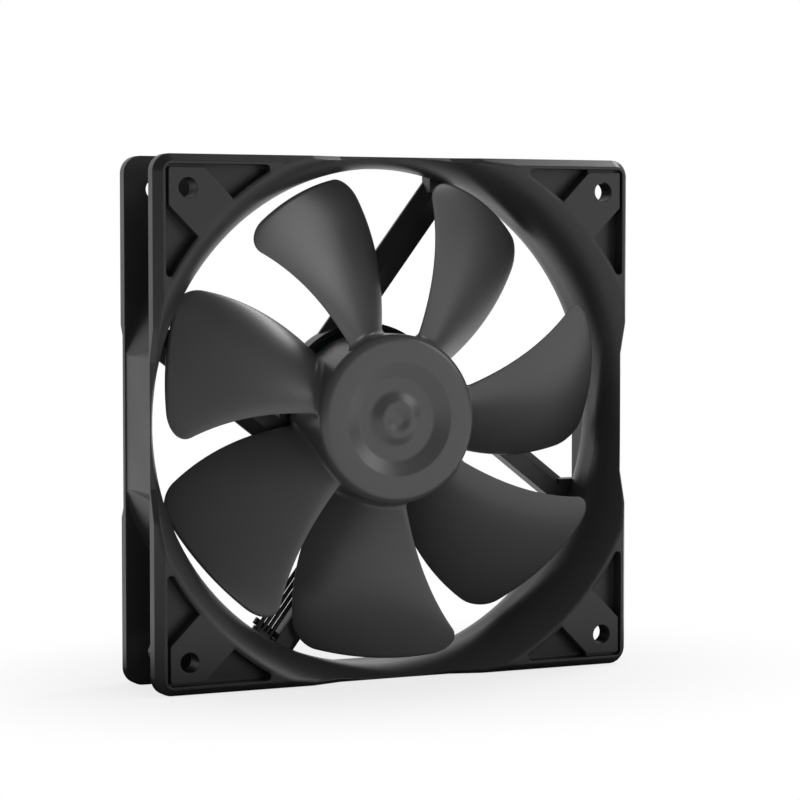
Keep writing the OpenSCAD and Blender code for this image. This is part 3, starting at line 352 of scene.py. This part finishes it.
def softened(corners, steps=7):
    """Outline from (x, y, radius) corners: each corner is an arc, a conic from one side to the other.

    The arc starts and ends at the radius's tangent length from the corner, and its weight, the cosine of half
    the turn, makes it a part of a circle. A radius of 0 keeps the corner.
    """
    outline = []
    for before, here, after in zip(corners[:1] + corners[:-1], corners, corners[1:] + corners[-1:]):
        point = np.array(here[:2])
        legs = [np.array(other[:2]) - point for other in (before, after)]
        lengths = [np.linalg.norm(leg) for leg in legs]
        if here[2] == 0 or min(lengths) == 0:
            outline.append(point[None])
            continue
        legs = [leg / length for leg, length in zip(legs, lengths)]
        half_turn = (math.pi - math.acos(np.clip(legs[0] @ legs[1], -1, 1))) / 2
        reach = min(here[2] * math.tan(half_turn), 0.48 * min(lengths))
        t = np.linspace(0, 1, steps)[:, None]
        weights = [(1 - t) ** 2, 2 * math.cos(half_turn) * t * (1 - t), t ** 2]
        ends = [point + legs[0] * reach, point, point + legs[1] * reach]
        outline.append(sum(w * e for w, e in zip(weights, ends)) / sum(weights))
    return np.concatenate(outline)


def revolved(outline, columns=128):
    """Surface of revolution: the outline's (radius, depth) points carried round the fan axis."""
    angle = np.linspace(0, 2 * np.pi, columns + 1)[:-1]
    return around_axis(outline[:, :1], angle, outline[:, 1:])


def blade(turn):
    """Blade as sections at growing radii, each an ellipse bent along the blade's bowed middle line.

    At a share s of the span the middle line covers an arc that goes evenly from the root's to the tip's, about
    an angle of the sweep times a power of s, and dips ahead by a parabola. Near the tip a quarter ellipse takes
    a share of the chord off the leading and a smaller one off the trailing edge. The thickness goes evenly from
    root to tip, shrinks to 0 round the tip's edge, and grows by a quarter circle in the fillet at the hub, where
    the chord grows alike.
    """
    r = np.concatenate([np.linspace(ROOT_R, HUB_R + FILLET, 12)[:-1],
                        np.linspace(HUB_R + FILLET, TIP_ROWS_R, 26)[:-1],
                        TIP_ROWS_R + (TIP_R - TIP_ROWS_R) * np.sin(np.linspace(0, np.pi / 2, 26))])[:, None]
    s = (r - ROOT_R) / (TIP_R - ROOT_R)
    cut_share = TIP_CUT_LEN / (TIP_R - ROOT_R)
    cut = 1 - np.sqrt(1 - np.clip((s - 1 + cut_share) / cut_share, 0, 1) ** 2)
    lead = BLADE_FRONT + ROOT_FRONT_LOSS * (1 - s) ** 2
    trail = BLADE_REAR - ROOT_REAR_LOSS * (1 - s) ** 2
    arc = np.radians(ROOT_ARC + (TIP_ARC - ROOT_ARC) * s)
    middle = np.radians(SWEEP * s ** SWEEP_POWER)
    bow = BOW * (1 - TIP_BOW_LOSS * s)
    edge_round = np.sqrt(1 - np.clip((r - TIP_R + TIP_EDGE_R) / TIP_EDGE_R, 0, 1) ** 2)
    flare = FILLET * (1 - np.sqrt(1 - (1 - np.clip((r - HUB_R) / FILLET, 0, 1)) ** 2))
    half = (ROOT_T + (TIP_T - ROOT_T) * s) / 2 * edge_round + flare
    chord = np.stack([-r * arc, trail - lead], -1)
    chord_len = np.linalg.norm(chord, axis=-1)
    normal = np.stack([-chord[..., 1], chord[..., 0]], -1) / chord_len[..., None]
    a = np.linspace(0, 2 * np.pi, 57)[:-1]
    k = LEAD_CUT * cut + (1 - (LEAD_CUT + TRAIL_CUT) * cut) * (1 - np.cos(a)) / 2
    k = 0.5 + (k - 0.5) * (1 + 2 * flare / chord_len)
    round_fan = r * (middle + arc * (0.5 - k)) + normal[..., 0] * half * np.sin(a)
    depth = lead + (trail - lead) * k - bow * 4 * k * (1 - k) + normal[..., 1] * half * np.sin(a)
    return around_axis(r, round_fan / r + turn, depth)


# Radius, depth and rounding of the hub's corners, from the axis outwards over its face and back inside it.
boss = [(0, 2.7, 0), (1.4, 2.7, 1.5), (3.0, 2.2, 2.5), (4.1, 2.2, 2.5)]
dish = [(6.4, 3.4, 3.0), (9.6, 3.4, 2.0), (13.2, 1.8, 1.2)]
cup = [(HUB_R, 1.8, 2.0), (HUB_R, 19.8, 0.3), (18.1, 19.8, 0.2), (18.1, 4.4, 0.4)]
bush_collar = [(5.1, 4.4, 0.3), (5.1, 7.8, 0.2), (3.3, 7.8, 0.1), (3.3, 4.4, 0), (0, 4.4, 0)]
hub_outline = softened(boss + dish + cup + bush_collar)
# Black plastic from a polished mould: smoother than the frame, with long soft highlights.
# Its two tones are lighter than the frame's, though the plastic is the same: the extra lightness is painted light.
lightened_polished_pbt = finish("polished black PBT", "#464647", "#4e4e4f", (0.30, 0.36), 30, 0.6, 0.003, edge=0.15,
                      ior=1.52)
impeller = new_piece("impeller_moulding", [revolved(hub_outline)]
                     + [blade(2 * math.pi * i / BLADES) for i in range(BLADES)], lightened_polished_pbt, "rotor")
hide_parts("impeller")


# Lead
# Four stranded wires lie side by side along a strut. At the frame's notch a shrink sleeve gathers them into a
# braided sleeve, which goes down to the table, is folded into a hank behind the fan and ends in a four-way plug.
LEAD_ANGLE = math.radians(232.5)
WIRE_MIDDLE = 10.575
WIRE_DEPTH = 22.875
WIRE_COUNT, WIRE_START, WIRE_PITCH, WIRE_D = 4, 8.0, 1.2, 1.05
SLEEVE_START, SLEEVE_LEN, SLEEVE_OVERLAP = 54.921, 2.1, 0.3
CORD_D = 2.6
lead_dir = np.array([math.cos(LEAD_ANGLE), 0, math.sin(LEAD_ANGLE)])
lead_side = np.array([-math.sin(LEAD_ANGLE), 0, math.cos(LEAD_ANGLE)])
lead_origin = np.array([0, WIRE_DEPTH - FRAME_DEPTH / 2, 0]) + WIRE_MIDDLE * lead_side


def tube(route, radius, columns=24):
    """Round tube: circles square to the route, set out from the horizontal direction across it."""
    ahead = np.gradient(route, axis=0)
    ahead /= np.linalg.norm(ahead, axis=1, keepdims=True)
    across = np.cross(ahead, [0, 0, 1])
    across /= np.linalg.norm(across, axis=1, keepdims=True)
    a = np.linspace(0, 2 * np.pi, columns + 1)[:-1, None]
    return route[:, None] + radius * (np.cos(a) * across[:, None]
                                      + np.sin(a) * np.cross(across, ahead)[:, None])


# Extruded PVC: smooth black with a dull gloss.
pvc = finish("extruded black PVC", "#252526", "#2d2d2e", (0.32, 0.42), 6, 0.25, 0.003, edge=0.05)
wire_run = lead_origin + np.linspace(WIRE_START, SLEEVE_START + SLEEVE_OVERLAP, 24)[:, None] * lead_dir
wire_offsets = (np.arange(WIRE_COUNT) - (WIRE_COUNT - 1) / 2) * WIRE_PITCH
wires = new_piece("laid_wires", [tube(wire_run + offset * lead_side, WIRE_D / 2) for offset in wire_offsets],
                  pvc, "root")
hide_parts("lead_wires")

ROW_HALF_W, ROW_HALF_H, ROUND_HALF = 2.85, 0.86, 1.5
BOX_POWER = 0.45
EASE_FROM, EASE_SPAN = 0.5, 0.45
WIRE_SHOW = 0.10
LIP_SHARE, START_LIP, END_LIP = 0.03, 0.12, 0.06


def shrunk_sleeve():
    """Sleeve from the flat row of wires to the round cord.

    The section is (cos a, sin a), each part to a power that goes from almost a box's to 1, round, times half
    sizes that ease from the row's to the cord's. On the flat part the wires stand out as a cosine of their
    pitch, which fades with the same ease. A lip at each end draws the section in.
    """
    share = np.linspace(0, 1, 60)[:, None]
    a = np.linspace(0, 2 * np.pi, 65)[:-1]
    ease = np.clip((share - EASE_FROM) / EASE_SPAN, 0, 1)
    ease = ease * ease * (3 - 2 * ease)
    power = BOX_POWER + (1 - BOX_POWER) * ease
    half_w = ROW_HALF_W + (ROUND_HALF - ROW_HALF_W) * ease
    half_h = ROW_HALF_H + (ROUND_HALF - ROW_HALF_H) * ease
    across = half_w * np.sign(np.cos(a)) * np.abs(np.cos(a)) ** power
    height = half_h * np.sign(np.sin(a)) * np.abs(np.sin(a)) ** power
    height = height * (1 - WIRE_SHOW * (1 - ease) * (1 + np.cos(2 * np.pi * across / WIRE_PITCH)))
    lip = (1 - START_LIP * np.clip(1 - share / LIP_SHARE, 0, 1)
           - END_LIP * np.clip((share - 1 + LIP_SHARE) / LIP_SHARE, 0, 1))
    along = SLEEVE_START + SLEEVE_LEN * share
    return (lead_origin + along[..., None] * lead_dir + (across * lip)[..., None] * lead_side
            + (height * lip)[..., None] * np.array([0, 1, 0]))


# Polyolefin tube shrunk with hot air: black, satin, faintly wrinkled.
shrunk = finish("shrunk polyolefin", "#171718", "#202021", (0.36, 0.48), 2, 0.9, 0.03, edge=0.05)
sleeve = new_piece("shrunk_sleeve", [shrunk_sleeve()], shrunk, "root")
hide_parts("shrink_sleeve")

HANK_CENTRE = np.array([-26.0, 59.0])
HANK_ANGLE = math.radians(72)
HANK_Z = -58.1
HANK_RUN = 46.0
HANK_START_W, HANK_STEP, HANK_WAIST = 12.6, 3.2, 4.0
HANK_TURNS = 1.625
HANK_TAIL, HANK_TAIL_Q, HANK_TAIL_HASTE = 11.0, 1.0, 1.3


def hank_place(p, q, z=HANK_Z):
    """Point of the hank: p along it, away from the fan, and q to its left."""
    return np.stack(np.broadcast_arrays(
        HANK_CENTRE[0] + p * math.cos(HANK_ANGLE) - q * math.sin(HANK_ANGLE),
        HANK_CENTRE[1] + p * math.sin(HANK_ANGLE) + q * math.cos(HANK_ANGLE), z), -1)


def hank_half(half, share):
    """One run and the fold after it, for shares of the run from 0 to 1 and of the fold from 1 to 2.

    The half width shrinks by a step a turn, evenly along the way. A run is drawn in at its middle by a raised
    cosine; a fold is a half circle of that width.
    """
    side = 1 - 2 * (half % 2)
    width = HANK_START_W - HANK_STEP * (half / 2 + share / 4)
    p = (share - 0.5) * HANK_RUN
    waist = HANK_WAIST * (0.5 + 0.5 * np.cos(2 * np.pi * p / HANK_RUN))
    turn = np.pi * (share - 1)
    on_run = share < 1
    return hank_place(side * np.where(on_run, p, HANK_RUN / 2 + width * np.sin(turn)),
                      -side * np.where(on_run, width - waist, width * np.cos(turn)))


def through(points, steps):
    """Smooth route through points: a cubic between each two, whose slopes come from their neighbours."""
    padded = np.concatenate([2 * points[:1] - points[1:2], points, 2 * points[-1:] - points[-2:-1]])
    p0, p1, p2, p3 = (padded[i:len(padded) - 3 + i, None] for i in range(4))
    t = np.linspace(0, 1, steps + 1)[:-1, None]
    curve = p1 + t * (p2 - p0 + t * (2 * p0 - 5 * p1 + 4 * p2 - p3 + t * (3 * (p1 - p2) + p3 - p0))) / 2
    return np.concatenate([curve.reshape(-1, 3), points[-1:]])


lead_exit = lead_origin + (SLEEVE_START + SLEEVE_LEN) * lead_dir
free_points = np.array([[-28.6, 10.8, -55.0], [-29.8, 12.1, -56.6], [-30.6, 14.2, -57.7], [-30.8, 16.8, -58.1],
                        [-30.5, 19.5, -58.1], [-29.5, 22.1, -58.1], [-27.8, 24.4, -58.1], [-25.8, 26.5, -58.1],
                        [-23.6, 28.4, -58.1]])
hank_turns = np.concatenate([hank_half(half, np.linspace(0, 2, 80)[:-1]) for half in range(3)]
                            + [hank_half(3, np.linspace(0, 0.5, 20)[:-1])])
tail_share = np.linspace(0, 1, 18)
tail_start_q = HANK_START_W - HANK_STEP * HANK_TURNS - HANK_WAIST
tail_ease = 0.5 - 0.5 * np.cos(np.pi * np.minimum(1, tail_share * HANK_TAIL_HASTE))
tail = hank_place(-HANK_TAIL * tail_share, tail_start_q + (HANK_TAIL_Q - tail_start_q) * tail_ease)
hank_heading = (hank_turns[1] - hank_turns[0]) / np.linalg.norm(hank_turns[1] - hank_turns[0])
free_route = np.concatenate([[lead_exit, lead_exit + CORD_D / 2 * lead_dir], free_points,
                             [hank_turns[0] - CORD_D * hank_heading, hank_turns[0]]])
cord_route = np.concatenate([through(free_route, 8)[:-1], hank_turns, tail])


def weave(material, warp, weft):
    """Height of a plain weave from two counts of threads: humps of |sin|, on top by turns as on a chess board."""
    humps, counts = [], []
    for threads in (warp, weft):
        angle = add_node(material, "ShaderNodeMath", {0: threads, 1: math.pi}, operation="MULTIPLY")
        wave = add_node(material, "ShaderNodeMath", {0: angle.outputs[0]}, operation="SINE")
        humps.append(add_node(material, "ShaderNodeMath", {0: wave.outputs[0]}, operation="ABSOLUTE").outputs[0])
        counts.append(add_node(material, "ShaderNodeMath", {0: threads}, operation="FLOOR").outputs[0])
    total = add_node(material, "ShaderNodeMath", {0: counts[0], 1: counts[1]})
    on_top = add_node(material, "ShaderNodeMath", {0: total.outputs[0], 1: 2.0}, operation="FLOORED_MODULO")
    height = add_node(material, "ShaderNodeMix", {"Factor": on_top.outputs[0], "A": humps[0], "B": humps[1]})
    return height.outputs["Result"]


# Braided polyester sleeve: black yarns half a millimetre wide, which cross at 45 degrees and catch the light in
# turn.
# The yarns' tops are painted lighter and the dips between them darker, as painted highlight and shade.
YARNS = 16
YARN_W = math.pi * CORD_D / YARNS
YARN_DEPTH = 0.12
braid = bpy.data.materials.new("braided polyester")
braid.use_nodes = True
lie = add_node(braid, "ShaderNodeSeparateXYZ", {0: add_node(braid, "ShaderNodeTexCoord").outputs["UV"]}).outputs
round_count = add_node(braid, "ShaderNodeMath", {0: lie["X"], 1: YARNS}, operation="MULTIPLY").outputs[0]
along_count = add_node(braid, "ShaderNodeMath", {0: lie["Y"], 1: YARN_W * MM}, operation="DIVIDE").outputs[0]
yarn_counts = [add_node(braid, "ShaderNodeMath", {0: round_count, 1: along_count}, operation=slant).outputs[0]
               for slant in ("ADD", "SUBTRACT")]
yarn_height = weave(braid, *yarn_counts)
# Painted shade: lighter where a yarn stands high, darker in the dips between yarns.
yarn_painted_shade = add_node(braid, "ShaderNodeMix", {"Factor": yarn_height, "A": linear("#0e0e0f"),
                                              "B": linear("#2b2b2d")}, data_type="RGBA")
yarn_relief = add_node(braid, "ShaderNodeBump", {"Height": yarn_height, "Distance": YARN_DEPTH * MM})
set_sockets(braid, base_color=yarn_painted_shade.outputs["Result"], roughness=0.5, normal=yarn_relief.outputs[0],
            sheen_weight=0.15)
cord = new_piece("braided_cord", [tube(cord_route, CORD_D / 2)], braid, "root")
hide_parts("cord", "cord_hank")

TIE_W, TIE_T = 5.0, 0.5
TIE_Q = (-10.0, 8.4)
TIE_HALF_H = 1.62
TIE_LAP, TIE_RAMP, TIE_SLACK = 8.0, 3.0, 1.08


def tie_band():
    """Strap round the hank's waist: a flat section with round edges carried along a long loop.

    The loop is a stadium: straight over and under the hank, half circles at its sides. It goes round once,
    and its end laps over its beginning, a strap's thickness further out.
    """
    half_len = (TIE_Q[1] - TIE_Q[0]) / 2 - TIE_HALF_H
    middle_q = sum(TIE_Q) / 2
    loop = 4 * half_len + 2 * math.pi * TIE_HALF_H
    s = np.linspace(-half_len, loop - half_len + TIE_LAP, 180)
    lift = TIE_T * TIE_SLACK * np.clip((s - loop + half_len + TIE_RAMP) / TIE_RAMP, 0, 1)
    place = (s + half_len) % loop
    bounds = np.cumsum([2 * half_len, math.pi * TIE_HALF_H, 2 * half_len])
    turn = np.where(place < bounds[0], 0, np.where(place < bounds[1], (place - bounds[0]) / TIE_HALF_H,
                    np.where(place < bounds[2], math.pi, math.pi + (place - bounds[2]) / TIE_HALF_H)))
    centre = np.where(place < bounds[0], place - half_len, np.where(place < bounds[1], half_len,
                      np.where(place < bounds[2], half_len - (place - bounds[1]), -half_len)))
    a = np.linspace(0, 2 * np.pi, 25)[:-1]
    p = TIE_W / 2 * np.sign(np.cos(a)) * np.abs(np.cos(a)) ** 0.25
    out = (TIE_HALF_H + lift)[:, None] + TIE_T / 2 * np.sign(np.sin(a)) * np.abs(np.sin(a)) ** 0.6
    q = middle_q + centre[:, None] + out * np.sin(turn)[:, None]
    return hank_place(p, q, HANK_Z + out * np.cos(turn)[:, None])


# Woven nylon tape: black, with square threads of 0.4 mm and a fuzzy sheen.
THREAD, THREAD_DEPTH = 0.4, 0.1
tape = bpy.data.materials.new("woven nylon tape")
tape.use_nodes = True
lie = add_node(tape, "ShaderNodeTexCoord").outputs
tape_along = add_node(tape, "ShaderNodeSeparateXYZ", {0: lie["UV"]}).outputs["Y"]
hank_dir = (math.cos(HANK_ANGLE), math.sin(HANK_ANGLE), 0)
across_tape = add_node(tape, "ShaderNodeVectorMath", {0: lie["Object"], 1: hank_dir},
                       operation="DOT_PRODUCT").outputs["Value"]
counts = [add_node(tape, "ShaderNodeMath", {0: value, 1: THREAD * MM}, operation="DIVIDE").outputs[0]
          for value in (across_tape, tape_along)]
thread_height = weave(tape, *counts)
# Painted shade: raised threads are lighter and the dips between them darker, as light falls on the weave.
thread_painted_shade = add_node(tape, "ShaderNodeMix", {"Factor": thread_height, "A": linear("#121213"),
                                               "B": linear("#262628")}, data_type="RGBA")
thread_relief = add_node(tape, "ShaderNodeBump", {"Height": thread_height, "Distance": THREAD_DEPTH * MM})
set_sockets(tape, base_color=thread_painted_shade.outputs["Result"], roughness=0.72, normal=thread_relief.outputs[0],
            sheen_weight=0.3)
tie = new_piece("hank_strap", [tie_band()], tape, "root")
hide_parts("hank_tie")

# Nylon: black and slightly waxy, with the flow of the melt in its sheen.
dress(finish("moulded black nylon", "#242425", "#2d2d2e", (0.38, 0.48), 4, 0.3, 0.004, edge=0.15, ior=1.53),
      "plug_housing")


# Stage
# A plain pale table under the fan and soft studio light: a large box in front on the right, one higher up at the
# right, a small one above that edges the top, and a surround that is white behind the fan, so its sides mirror it.
# The table glows white but for an oval round the fan, where it keeps the shadow. Seen in reflections, its paint
# turns near black in a smaller oval there: a painted shadow under the fan.
FLOOR_SIZE = 6.0
bpy.ops.mesh.primitive_plane_add(size=FLOOR_SIZE, location=(0, 0, solid_box[0].z))
floor = bpy.context.object
floor.name = "floor"
table = bpy.data.materials.new("pale table top")
table.use_nodes = True
table.node_tree.nodes.clear()
floor.data.materials.append(table)
spot = add_node(table, "ShaderNodeTexCoord").outputs["Object"]
ray = add_node(table, "ShaderNodeLightPath").outputs
SEEN_OVAL = {"squeeze": (0.92, 1.2, 1.0), "middle": 0.72, "start": 0.025, "end": 0.12}
MIRRORED_OVAL = {"squeeze": (0.45, 1.2, 1.0), "middle": 0.0, "start": 0.05, "end": 0.078}
shares = []
for kind, oval in (("Is Camera Ray", SEEN_OVAL), ("Is Glossy Ray", MIRRORED_OVAL),
                   ("Is Transmission Ray", SEEN_OVAL)):
    squeezed = add_node(table, "ShaderNodeVectorMath", {0: spot, 1: oval["squeeze"]}, operation="MULTIPLY")
    reach = add_node(table, "ShaderNodeVectorMath", {0: squeezed.outputs[0]}, operation="LENGTH")
    fade = add_node(table, "ShaderNodeMapRange", {"Value": reach.outputs["Value"], "From Min": oval["start"],
                                                  "From Max": oval["end"], "To Min": oval["middle"],
                                                  "To Max": 1.0}, interpolation_type="SMOOTHSTEP")
    shares.append(add_node(table, "ShaderNodeMath", {0: ray[kind], 1: fade.outputs[0]}, operation="MULTIPLY"))
seen = add_node(table, "ShaderNodeMath", {0: shares[0].outputs[0], 1: shares[1].outputs[0]}, operation="MAXIMUM")
seen = add_node(table, "ShaderNodeMath", {0: seen.outputs[0], 1: shares[2].outputs[0]}, operation="MAXIMUM")
# Painted shadow: to reflection rays the table's paint is near black, so the fan's lower edges mirror a dark floor.
table_paint_with_mirrored_shadow = add_node(table, "ShaderNodeMix", {"Factor": ray["Is Glossy Ray"], "A": linear("#f2f2f2"),
                                         "B": linear("#202020")}, data_type="RGBA")
paint = add_node(table, "ShaderNodeBsdfDiffuse", {"Color": table_paint_with_mirrored_shadow.outputs["Result"]})
glow = add_node(table, "ShaderNodeEmission", {"Color": linear("#ffffff"), "Strength": 1.0})
blend = add_node(table, "ShaderNodeMixShader", {0: seen.outputs[0], 1: paint.outputs[0], 2: glow.outputs[0]})
add_node(table, "ShaderNodeOutputMaterial", {"Surface": blend.outputs[0]})

DIFFUSE_LEVEL, FRONT_MIRROR_LEVEL = 0.45, 0.05
BEHIND_FROM, BEHIND_TO = 0.5, 0.9
surround = bpy.data.worlds.new("white surround")
bpy.context.scene.world = surround
surround.use_nodes = True
surround.node_tree.nodes.clear()
surround.cycles.sampling_method = "NONE"
ray = add_node(surround, "ShaderNodeLightPath").outputs
seen = add_node(surround, "ShaderNodeMath", {0: ray["Is Camera Ray"], 1: ray["Is Transmission Ray"]},
                operation="MAXIMUM")
towards = add_node(surround, "ShaderNodeSeparateXYZ",
                   {0: add_node(surround, "ShaderNodeTexCoord").outputs["Generated"]}).outputs["Y"]
behind = add_node(surround, "ShaderNodeMapRange", {"Value": towards, "From Min": BEHIND_FROM, "From Max": BEHIND_TO,
                                                   "To Min": FRONT_MIRROR_LEVEL, "To Max": 1.0})
mirrored = add_node(surround, "ShaderNodeMix", {"Factor": ray["Is Glossy Ray"], "A": DIFFUSE_LEVEL,
                                                "B": behind.outputs["Result"]})
level = add_node(surround, "ShaderNodeMix", {"Factor": seen.outputs[0], "A": mirrored.outputs["Result"], "B": 1.0})
sky = add_node(surround, "ShaderNodeBackground", {"Color": linear("#ffffff"),
                                                  "Strength": level.outputs["Result"]})
add_node(surround, "ShaderNodeOutputWorld", {"Surface": sky.outputs[0]})

for name, place, size, power in (("front", (0.70, -1.21, 0.06), 0.95, 2.8), ("top", (0.61, 0.23, 0.66), 0.28, 2.2),
                                 ("right", (1.00, -0.58, 0.60), 0.60, 3.6)):
    lamp = bpy.data.objects.new(name, bpy.data.lights.new(name, "AREA"))
    lamp.data.size = size
    lamp.data.energy = power
    lamp.location = place
    lamp.rotation_euler = (-Vector(place)).to_track_quat("-Z", "Y").to_euler()
    bpy.context.scene.collection.objects.link(lamp)
